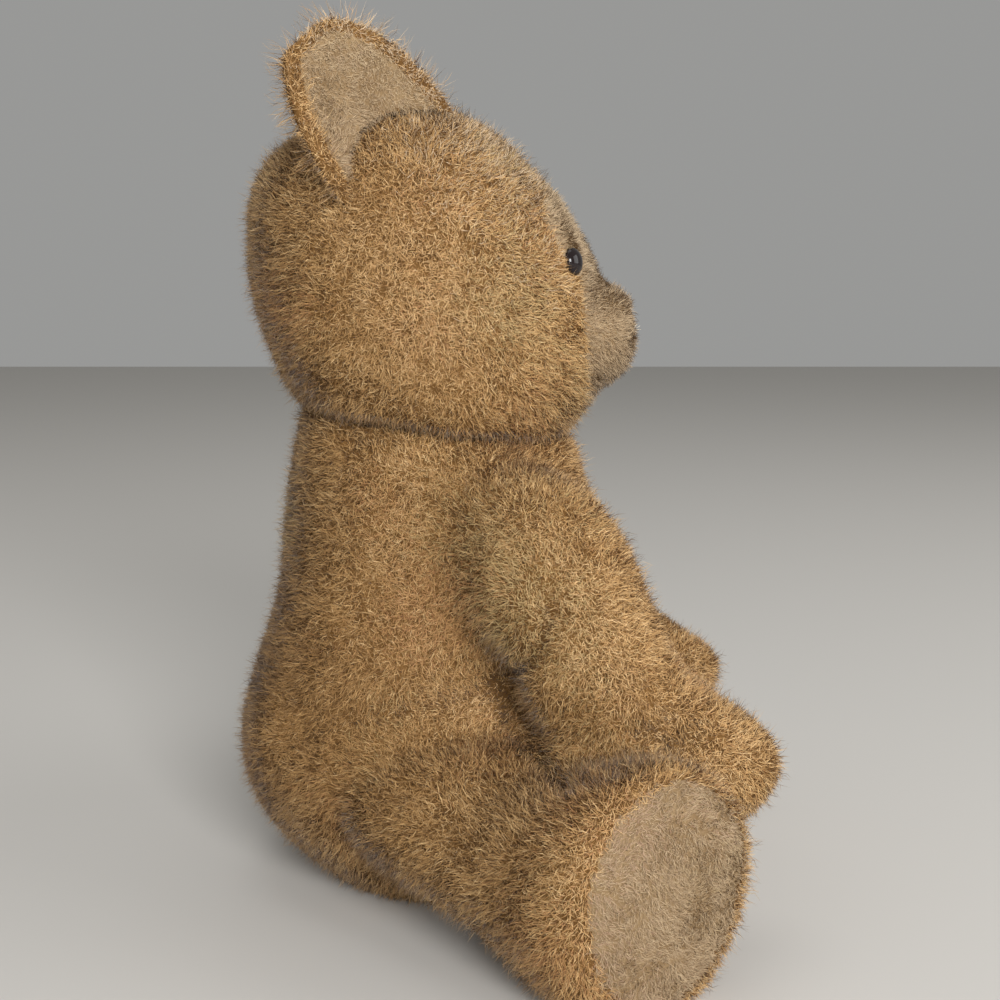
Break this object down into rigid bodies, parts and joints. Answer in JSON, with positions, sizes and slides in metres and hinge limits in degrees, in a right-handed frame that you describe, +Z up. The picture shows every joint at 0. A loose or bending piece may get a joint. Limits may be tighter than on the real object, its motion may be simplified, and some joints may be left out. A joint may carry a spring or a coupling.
{
  "type": "teddy bear",
  "caption": "Seated unjointed plush bear with a stuffed pile-cloth head, torso, arms and legs, cupped ears, pale short-plush face and soles, domed eyes and a stitched nose.",
  "frame": {"origin": "on the floor, under the centre of the seated bear's box", "axes": "+Z up; the bear faces -Y; +X is the bear's left side"},
  "size_m": [0.3254, 0.203, 0.3307],
  "materials": {
    "mohair": "short curly golden-brown pile, worn and matted in places",
    "short_plush": "very short dense tan pile",
    "black_eye": "polished black dome",
    "white_nylon": "natural nylon",
    "black_thread": "worn stranded thread"
  },
  "bodies": {
    "root": {"torso": "mohair", "head": "mohair", "muzzle": "short_plush", "nose": "black_thread", "mouth_stitch_middle": "black_thread", "mouth_stitch_right": "black_thread", "mouth_stitch_left": "black_thread", "eye_right": "black_eye", "eye_left": "black_eye", "eye_washer_right": "white_nylon", "eye_washer_left": "white_nylon", "ear_right": "mohair", "ear_left": "mohair", "ear_lining_right": "short_plush", "ear_lining_left": "short_plush", "arm_right": "mohair", "arm_left": "mohair", "paw_pad_right": "short_plush", "paw_pad_left": "short_plush", "leg_right": "mohair", "leg_left": "mohair", "foot_pad_right": "short_plush", "foot_pad_left": "short_plush"}
  },
  "joints": []
}
